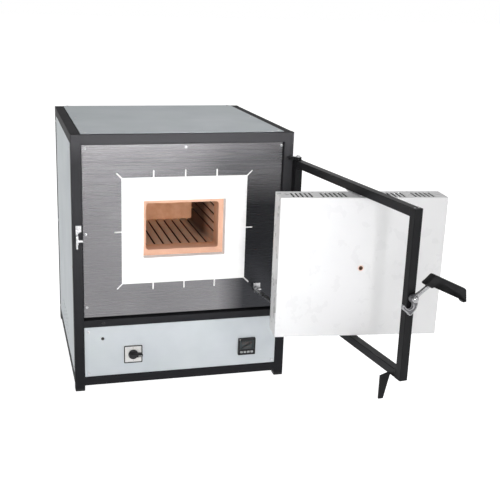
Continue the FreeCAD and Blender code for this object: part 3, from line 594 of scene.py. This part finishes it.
for i, (body, mark) in enumerate(marks.items()):
    node = "controller_key_" + str(i + 1)
    low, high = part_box(node)
    middle = ((low[0] + high[0]) / 2, high[1], (low[2] + high[2]) / 2)
    depth = high[1] - low[1]
    cap_shape = rounded(rectangle(high[0] - low[0], high[2] - low[2]), 0.0011)
    steps = [(0.0, 0.0), (0.0, depth - 0.0007), (0.0002, depth - 0.0002), (0.0007, depth), (0.0016, depth + 0.0001)]
    key = piece(body + "_cap", [plate(cap_shape, steps, middle, rightward, upward_, toward)], key_rubber, body,
                cap=True)
    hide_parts(node)
    place = (middle[0], middle[1] - depth - 0.00008, middle[2])
    printed = plate(np.array(mark, float), [(0.0, 0.0), (0.0, 0.00005)], place, rightward, upward_, toward)
    piece(body + "_mark", [printed], mark_ink, body, cap=True)
status_glass = new_finish("status_glass", (0.72, 0.70, 0.62), 0.2, coat=1.0)
dapple(status_glass, 0.001, 2.0, (0.62, 0.60, 0.52), (0.80, 0.78, 0.72))
case_low, case_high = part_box("controller_case")
piece("status_lamp", [turned([(0.0013, -0.0002), (0.0013, 0.0003), (0.0009, 0.0007), (0.0, 0.0008)],
      (case_low[0] + 0.0045, case_low[1], case_high[2] - 0.0035), toward, 20)], status_glass, "cabinet")

# ---- Main switch
# A rotary switch: pale square plate with a dark border and two numerals, and a black
# moulded lever on a round hub, with a white line let into its nose.
pale_plastic = new_finish("pale_plastic", (0.66, 0.66, 0.64), 0.42)
dapple(pale_plastic, 0.01, 3.0, (0.60, 0.60, 0.58), (0.70, 0.70, 0.68))
relief(pale_plastic, cloud(pale_plastic, 0.0006), 0.00003)
coat(pale_plastic, "switch_plate")
plate_low, plate_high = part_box("switch_plate")
knob_x, knob_z = (plate_low[0] + plate_high[0]) / 2, (plate_low[2] + plate_high[2]) / 2
plate_side = plate_high[0] - plate_low[0]
lever_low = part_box("switch_lever")[0]


def ring_plate(outer, inner, rise, place):
    """A flat ring between two outlines with the same number of points, standing off a face."""
    levels = [(inner, 0.0), (inner, rise), (outer, rise), (outer, 0.0)]
    grid = np.stack([np.array(place) + line[:, :1] * rightward + line[:, 1:] * upward_ + level_ * toward
                     for line, level_ in levels])
    return shell(grid, close_rows=True, close_columns=True)


place = (knob_x, plate_low[1], knob_z)
outer = rounded(rectangle(plate_side - 0.0004, plate_side - 0.0004), 0.003)
inner = rounded(rectangle(plate_side - 0.0056, plate_side - 0.0056), 0.002)
piece("switch_border", [ring_plate(outer, inner, 0.0006, place)], black_plastic, "cabinet")
circle = np.linspace(0, 2 * np.pi, 48, endpoint=False)
loop = np.column_stack([np.cos(circle), np.sin(circle)])
numeral_z = 0.0175
zero = ring_plate(loop * (0.0012, 0.0019), loop * (0.0008, 0.0014), print_rise,
                  (knob_x, plate_low[1], knob_z + numeral_z))
one = plate(np.array(rectangle(0.0006, 0.0038)), [(0.0, 0.0), (0.0, print_rise)],
            (knob_x, plate_low[1], knob_z - numeral_z), rightward, upward_, toward)
piece("switch_numerals", [zero, one], mark_ink, "cabinet", cap=True)
hub_steps = [(0.0, 0.0), (0.0125, 0.0), (0.0130, 0.0006), (0.0128, 0.0038), (0.0118, 0.0046), (0.0085, 0.0050),
             (0.0, 0.0050)]
lever_outline = rounded([(-0.0115, -0.0045), (0.006, -0.0052), (0.0235, -0.0032), (0.0240, 0.0), (0.0235, 0.0032),
                         (0.006, 0.0052), (-0.0115, 0.0045)], 0.003)
lever_depth = plate_low[1] - 0.0004 - lever_low[1]
lever_place = (knob_x, plate_low[1] - 0.0004, knob_z)
lever_steps = [(0.0, 0.0006), (0.0, lever_depth - 0.0030), (0.0004, lever_depth - 0.0013),
               (0.0012, lever_depth - 0.0003), (0.0022, lever_depth)]
lever = piece("switch_handle", [turned(hub_steps, lever_place, toward, 48),
              plate(lever_outline, lever_steps, lever_place, rightward, upward_, toward)],
              black_plastic, "switch_lever", cap=True)
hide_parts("switch_lever")
line_place = (knob_x, lever_low[1], knob_z)
white_line = plate(np.array(rectangle(0.0095, 0.0013, 0.0165)), [(0.0, -0.0004), (0.0, 0.00012)], line_place,
                   rightward, upward_, toward)
piece("switch_line", [white_line], pale_plastic, "switch_lever", cap=True)

# ---- Indicator lamp
# A neon lamp in the upper left of the control panel: a black bezel snapped into the
# sheet, with a smoky red lens that is nearly black while it is off.
lens_red = new_finish("lens_red", (0.045, 0.010, 0.010), 0.15, coat=1.0)
dapple(lens_red, 0.002, 2.0, (0.030, 0.008, 0.008), (0.060, 0.014, 0.012))
lamp_low, lamp_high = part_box("indicator_lamp")
lamp_x, lamp_z = (lamp_low[0] + lamp_high[0]) / 2, (lamp_low[2] + lamp_high[2]) / 2
lamp_place = (lamp_x, control_face, lamp_z)
bezel_profile = [(0.0026, -0.0160), (0.0026, -0.0002), (0.0041, 0.0), (0.0042, 0.0008), (0.0038, 0.0014),
                 (0.0030, 0.0015), (0.0028, 0.0009), (0.0028, -0.0160)]
bezel = piece("lamp_bezel", [turned(bezel_profile, lamp_place, toward)], black_plastic, "cabinet")
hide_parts("indicator_lamp")
piece("lamp_lens", [turned([(0.0027, 0.0002), (0.0027, 0.0009), (0.0021, 0.0015), (0.0010, 0.0018), (0.0, 0.0019)],
      lamp_place, toward, 28)], lens_red, "cabinet", cap=True)

# ---- Cable inlet and relay
# A black nylon gland with a ribbed dome nut at the back; inside, a relay in a black
# case on a finned heat sink that stands on the pan.
gland_low, gland_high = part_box("cable_gland")
gland_x, gland_z = (gland_low[0] + gland_high[0]) / 2, (gland_low[2] + gland_high[2]) / 2


def ribbed(profile, foot, axis, ribs, depth, around=144):
    """As turned, with the radius waving once each rib on the profile's outer stretch."""
    axis = unit(axis)
    side = unit(np.cross(axis, (0.31, 0.83, 0.47)))
    other = np.cross(axis, side)
    angle = np.linspace(0, 2 * np.pi, around, endpoint=False)[:, None, None]
    radius, rise, share = np.array(profile, float).T[:, None, :, None]
    radius = radius - depth * share * (0.5 + 0.5 * np.cos(ribs * angle))
    spoke = np.cos(angle) * side + np.sin(angle) * other
    return shell(np.array(foot) + radius * spoke + rise * axis, close_rows=True)


gland_nut = ribbed([(0.0052, -0.0140, 0), (0.0078, -0.0140, 0), (0.0078, 0.0, 0), (0.0128, 0.0, 0.3),
                    (0.0130, 0.0010, 1), (0.0128, 0.0044, 1), (0.0118, 0.0050, 0.4), (0.0108, 0.0056, 1),
                    (0.0105, 0.0120, 1), (0.0094, 0.0165, 0.6), (0.0078, 0.0185, 0), (0.0060, 0.0190, 0),
                    (0.0052, 0.0184, 0), (0.0052, -0.0140, 0)],
                   (gland_x, rear_face, gland_z), (0, 1, 0), 24, 0.0006)
gland = piece("gland_nut", [gland_nut], black_plastic, "cabinet", sharp=40)
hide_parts("cable_gland")
relay_metal = new_finish("relay_metal", (0.55, 0.56, 0.57), 0.42, 0.9)
gloss(relay_metal, cloud(relay_metal, 0.002, 3.0, (1.0, 0.1, 1.0)), 0.34, 0.5)
relay_case = spread(relay_metal, along(relay_metal, "Z"), 0.0590, 0.0592)
tint(relay_metal, relay_case, (0.55, 0.56, 0.57), (0.030, 0.030, 0.032))
coat(relay_metal, "power_relay")

# ---- Keeper, hinges and link
# Zinc-plated steel: the keeper with its cross pin, the hinge pins, the door panel's
# pivots, and the flat link with its bracket, pin and stud.  Domed caps close the hinge
# pins and the link's pin; the pivots turn in brass bushes.
coat(zinc, "keeper", "keeper_pin", "hinge_pins", "link_bracket", "link_pin", "link_stud", "parallel_link",
     "pivot_carriers", "pivot_pins")
brass = new_finish("brass", (0.60, 0.42, 0.16), 0.35, 1.0)
dapple(brass, 0.006, 3.0, (0.50, 0.34, 0.13), (0.66, 0.48, 0.20))
gloss(brass, cloud(brass, 0.004), 0.28, 0.45)
coat(brass, "pivot_bushes")
hinge = np.array(joints["door_hinge"]["pos_m"])
lug_low, lug_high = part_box("hinge_lugs")
bar_low, bar_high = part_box("door_bar_hinge")


def pin_cap(x, y, z, way_, radius, rise):
    """A domed pin end: a short cylinder that closes along a quarter circle."""
    t = np.linspace(0, np.pi / 2, 7)
    dome = np.column_stack([radius * np.cos(t), rise * 0.4 + rise * 0.6 * np.sin(t)])
    return turned([(0.0, -0.0002), (radius, -0.0002), *dome.tolist()], (x, y, z), (0, 0, way_), 28)


caps = [pin_cap(hinge[0], hinge[1], lug_high[2], 1, 0.0058, 0.0030),
        pin_cap(hinge[0], hinge[1], lug_low[2], -1, 0.0058, 0.0030)]
link_pin_low, link_pin_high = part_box("link_pin")
link_x, link_y = (link_pin_low[0] + link_pin_high[0]) / 2, (link_pin_low[1] + link_pin_high[1]) / 2
caps.append(pin_cap(link_x, link_y, link_pin_high[2], 1, 0.0048, 0.0022))
piece("pin_caps", caps, zinc, "cabinet")

# ---- Door frame
# Four square tubes welded at their corners and coated a glossier, deeper black than
# the cabinet's frame; two small screws close the end of the latch tube.
latch_axis = np.array(joints["latch_lever"]["axis"])
outward = np.array([-latch_axis[1], latch_axis[0], 0.0])
outward = outward if outward[0] > 0 else -outward
up_axis = np.array([0.0, 0.0, 1.0])
door_bar = 0.019
door_len = 0.548
door_low_z, door_high_z = bar_low[2], bar_high[2]


def on_door(s, w, z):
    """A point s along the door frame from the hinge axis, w outside it, at height z."""
    return np.array([hinge[0], hinge[1], 0.0]) + latch_axis * s + outward * w + up_axis * z


door_frame_paint = powder_coat("door_frame_paint", (0.006, 0.006, 0.007), (0.011, 0.011, 0.012), 0.34, 0.00003, 0.12)
coat(door_frame_paint, "hinge_lugs", "door_bar_hinge", "door_bar_top", "door_bar_bottom", "door_bar_latch",
     "switch_tab")
door_welds = []
for z_in, z_out in ((door_low_z + door_bar, door_low_z), (door_high_z - door_bar, door_high_z)):
    for s in (door_bar / 2, door_len - door_bar):
        for side in (-1, 1):
            door_welds.append(bead(on_door(s, side * door_bar / 2, z_in), on_door(s, side * door_bar / 2, z_out),
                                   outward * side, 0.0015, 0.00035))
        across_way = up_axis if z_out > z_in else -up_axis
        reach = door_bar / 2 - inset
        door_welds.append(bead(on_door(s, -reach, z_out), on_door(s, reach, z_out), across_way, 0.0015, 0.00035))
        door_welds.append(bead(on_door(s, -reach, z_in), on_door(s, reach, z_in), -across_way, 0.0018, 0.0012))
tab_s, tab_half = 0.500, 0.0085
for side in (-1, 1):
    s = tab_s + side * 0.002
    door_welds.append(bead(on_door(s, -tab_half, door_low_z), on_door(s, tab_half, door_low_z), -up_axis,
                           0.0016, 0.0012))
piece("door_welds", door_welds, door_frame_paint, "door_frame")
end_screws = [pan_head(on_door(door_len - door_bar / 2, side * 0.0048, door_high_z), up_axis, 0.0021, 0.0010)
              for side in (-1, 1)]
piece("door_end_screws", end_screws, zinc, "door_frame", sharp=28.0)

# ---- Hinge strip
# A thin flat strip of black steel, welded to the side of the right front post behind
# the door's hinge bar, where it closes the gap between the two.
strip_outline = rounded(rectangle(0.015, 0.368, 0.0075, 0.417), 0.0015)
strip_place = (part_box("post_front_right")[1][0] - 0.0002, front_y + 0.0050, 0.0)
strip_steps = [(0.0004, 0.0), (0.0, 0.0004), (0.0, 0.0026), (0.0004, 0.0030)]
piece("hinge_backing", [plate(strip_outline, strip_steps, strip_place, rightward, upward_, toward)],
      door_frame_paint, "cabinet", cap=True)

# ---- Latch
# A bright turned spindle carries a grey cast claw whose raised rims are rubbed bright,
# a round steel arm, and a moulded black grip pressed on the arm's end.
boss_z = 0.417
boss_s = door_len + 0.004
claw_thick = 0.008
arm_turn = math.radians(36)


def on_latch(w, z, s):
    """A point in the latch's plane, w outside the frame and z above the boss, s in front of its back face."""
    return on_door(boss_s + s, w, boss_z + z)


cast_metal = new_finish("cast_metal", (0.14, 0.14, 0.15), 0.42, 0.9)
dapple(cast_metal, 0.006, 4.0, (0.10, 0.10, 0.11), (0.20, 0.20, 0.21))
gloss(cast_metal, cloud(cast_metal, 0.003, 3.0), 0.34, 0.55)
relief(cast_metal, cloud(cast_metal, 0.0009, 3.0), 0.00012)
bright_steel = new_finish("bright_steel", (0.70, 0.70, 0.71), 0.2, 1.0)
gloss(bright_steel, cloud(bright_steel, 0.0012, 3.0, (1.0, 1.0, 0.15)), 0.14, 0.30)
dapple(bright_steel, 0.004, 3.0, (0.30, 0.30, 0.31), (0.42, 0.42, 0.43))
coat(bright_steel, "latch_spindle")
claw_outline = rounded([(0.0090, -0.0040), (0.0088, -0.0140), (0.0066, -0.0215), (0.0015, -0.0275),
                        (-0.0045, -0.0342), (-0.0082, -0.0345), (-0.0115, -0.0295), (-0.0170, -0.0252),
                        (-0.0250, -0.0186), (-0.0258, -0.0132), (-0.0228, -0.0124), (-0.0185, -0.0180),
                        (-0.0135, -0.0222), (-0.0080, -0.0234), (-0.0022, -0.0214), (0.0006, -0.0165),
                        (-0.0002, -0.0105), (-0.0045, -0.0045)], 0.0030, 5)
rim_r = 0.0011


def rim_wire(line, depth):
    """A thin round wire that follows a closed outline in the latch's plane, at one depth."""
    ahead = np.roll(line, -1, 0) - np.roll(line, 1, 0)
    beside = np.column_stack([-ahead[:, 1], ahead[:, 0]]) / np.linalg.norm(ahead, axis=1)[:, None]
    around = np.linspace(0, 2 * np.pi, 8, endpoint=False)[None, :, None]
    beside = beside[:, None, :1] * outward + beside[:, None, 1:] * up_axis
    middle = on_latch(0, 0, depth) + line[:, None, :1] * outward + line[:, None, 1:] * up_axis
    return shell(middle + rim_r * (np.cos(around) * beside + np.sin(around) * latch_axis), True, True)


web_low = rim_r + 0.0006
claw = plate(claw_outline, [(0.0, web_low), (0.0, claw_thick - web_low)], on_latch(0, 0, 0),
             outward, up_axis, latch_axis)
rims = [rim_wire(claw_outline, depth) for depth in (rim_r, claw_thick - rim_r)]
hub_profile = [(0.0, -0.0001), (0.0088, -0.0001), (0.0093, 0.0006), (0.0093, claw_thick - 0.0008),
               (0.0088, claw_thick), (0.0060, claw_thick + 0.0002), (0.0, claw_thick + 0.0002)]
hub = turned(hub_profile, on_latch(0, 0, 0), latch_axis, 40)
hook = piece("latch_claw", [claw, hub], cast_metal, "latch", sharp=50, cap=True)
rubbed_edge = new_finish("rubbed_edge", (0.42, 0.42, 0.43), 0.35, 1.0)
dapple(rubbed_edge, 0.004, 4.0, (0.30, 0.30, 0.31), (0.52, 0.52, 0.53))
gloss(rubbed_edge, cloud(rubbed_edge, 0.002, 3.0), 0.28, 0.45)
piece("latch_claw_rims", rims, rubbed_edge, "latch", sharp=60)
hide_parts("latch_hook")
ball_t = np.radians(np.linspace(-20, 90, 12))
cap_profile = [(0.0, 0.0)] + np.column_stack([0.0080 * np.cos(ball_t), 0.0022 + 0.0060 * np.sin(ball_t)]).tolist()
piece("spindle_cap", [turned(cap_profile, on_latch(0, 0, claw_thick), latch_axis, 36)], bright_steel, "latch")
arm_way = outward * math.cos(arm_turn) + up_axis * math.sin(arm_turn)
arm_profile = [(0.0, 0.002), (0.0056, 0.002), (0.0056, 0.008), (0.0052, 0.014), (0.0046, 0.024), (0.0048, 0.034),
               (0.0056, 0.041), (0.0058, 0.045), (0.0, 0.045)]
piece("latch_arm", [turned(arm_profile, on_latch(0, 0, claw_thick / 2), arm_way, 28)], bright_steel, "latch",
      sharp=60)
grip_outline = rounded([(0.0190, 0.0305), (0.041, 0.0500), (0.124, 0.0105), (0.128, -0.019), (0.119, -0.020),
                        (0.1085, -0.0035), (0.053, 0.0280), (0.039, 0.0190)], 0.0028, 6)
grip_half = 0.009
bulge = np.radians(np.linspace(-90, 90, 13))
grip_steps = np.column_stack([0.0040 * (1 - np.cos(bulge) ** 0.6), claw_thick / 2 + grip_half * np.sin(bulge)])
grip_rubber = new_finish("grip_rubber", (0.010, 0.010, 0.011), 0.5, specular=0.15)
dapple(grip_rubber, 0.02, 3.0, (0.006, 0.006, 0.007), (0.013, 0.013, 0.014))
gloss(grip_rubber, cloud(grip_rubber, 0.004), 0.42, 0.56)
relief(grip_rubber, cloud(grip_rubber, 0.0008), 0.00008)
grip = piece("latch_handle", [plate(grip_outline, grip_steps, on_latch(0, 0, 0), outward, up_axis, latch_axis)],
             grip_rubber, "latch", cap=True)
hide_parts("latch_grip")

# ---- Door panel
# A white-painted sheet box with rows of vent slots in its top and bottom; thin black
# sheets under the slots are painted shade for its dark inside, and small screws hold the bare rear plate.
door_paint = powder_coat("door_paint", (0.665, 0.665, 0.67), (0.69, 0.69, 0.695), 0.28, 0.000006, 0.3)
coat(door_paint, "door_shell")
pivot = np.array(joints["panel_pivot"]["pos_m"])
panel_yaw = math.radians(-7.0)
panel_right = np.array([math.cos(panel_yaw), math.sin(panel_yaw), 0.0])
panel_back = np.array([-math.sin(panel_yaw), math.cos(panel_yaw), 0.0])
panel_w, panel_thick, pivot_off, pivot_depth = 0.382, 0.064, 0.010, 0.038
panel_low, panel_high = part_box("door_shell")[0][2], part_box("door_shell")[1][2]


def on_panel(x, y, z):
    """A point x right of the door panel's pivot and y behind it, at height z."""
    return np.array([pivot[0], pivot[1], 0.0]) + panel_right * x + panel_back * y + up_axis * z


# painted shade: black sheets just inside the slots stand in for the dark interior
painted_shade_black = new_finish("painted_shade_black", (0.02, 0.02, 0.02), 0.9, specular=0.1)
dapple(painted_shade_black, 0.02, 3.0, (0.012, 0.012, 0.012), (0.03, 0.03, 0.03))
shade_sheet_steps = [(0.0, 0.0), (0.0, 0.0006)]
shade_sheets = []
for z in (panel_low + 0.0024, panel_high - 0.0030):
    for wide, back in ((0.022, -0.0185), (0.020, 0.0150)):
        outline = np.array(rectangle(panel_w - 0.006, wide, pivot_off, back))
        shade_sheets.append(plate(outline, shade_sheet_steps, on_panel(0, 0, z), panel_right, panel_back, up_axis))
piece("vent_shade_sheets", shade_sheets, painted_shade_black, "door_panel", cap=True)
rear_y = panel_thick - pivot_depth
mid_z = (panel_low + panel_high) / 2
rear_heads = []
for x in (-0.180, -0.060, 0.060, 0.180):
    for z in (panel_low + 0.012, panel_high - 0.012):
        rear_heads.append(pan_head(on_panel(pivot_off + x, rear_y, z), panel_back, 0.0030, 0.0018))
for x in (-0.180, 0.180):
    rear_heads.append(pan_head(on_panel(pivot_off + x, rear_y, mid_z), panel_back, 0.0030, 0.0018))
piece("door_rear_screws", rear_heads, zinc, "door_panel", sharp=28.0)

# ---- Peephole
# A thin pale copper ring pressed round a short ceramic tube that goes through the
# panel and its plug; the tube's bore is dark brown, painted shade inside the hole.
copper = new_finish("copper", (0.78, 0.58, 0.50), 0.45, 0.4)
dapple(copper, 0.004, 3.0, (0.70, 0.50, 0.42), (0.82, 0.66, 0.60))
gloss(copper, cloud(copper, 0.004), 0.28, 0.5)
face_y = -pivot_depth
hole = on_panel(pivot_off, face_y, mid_z)
# painted shade: the bore is coloured dark brown to stand in for the shade inside the hole
dark_bore = new_finish("dark_bore", (0.20, 0.10, 0.06), 0.7, specular=0.2)
dapple(dark_bore, 0.003, 3.0, (0.12, 0.055, 0.03), (0.30, 0.16, 0.10))
ring_t = np.linspace(0, 2 * np.pi, 17)
ring_profile = np.column_stack([0.0060 + 0.0012 * np.cos(ring_t), 0.0004 + 0.0010 * np.sin(ring_t)])
bore_r, bore_end = 0.0042, -0.0705
tube_profile = [(bore_r, 0.0006), (0.0052, 0.0006), (0.0054, 0.0), (0.0054, bore_end), (bore_r, bore_end),
                (bore_r, 0.0006)]
ring = piece("peephole_ring", [turned(ring_profile.tolist(), hole, -panel_back, 48)], copper, "door_panel")
piece("peephole_liner", [turned(tube_profile, hole, -panel_back, 40)], dark_bore, "door_panel")
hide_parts("peephole_tube")
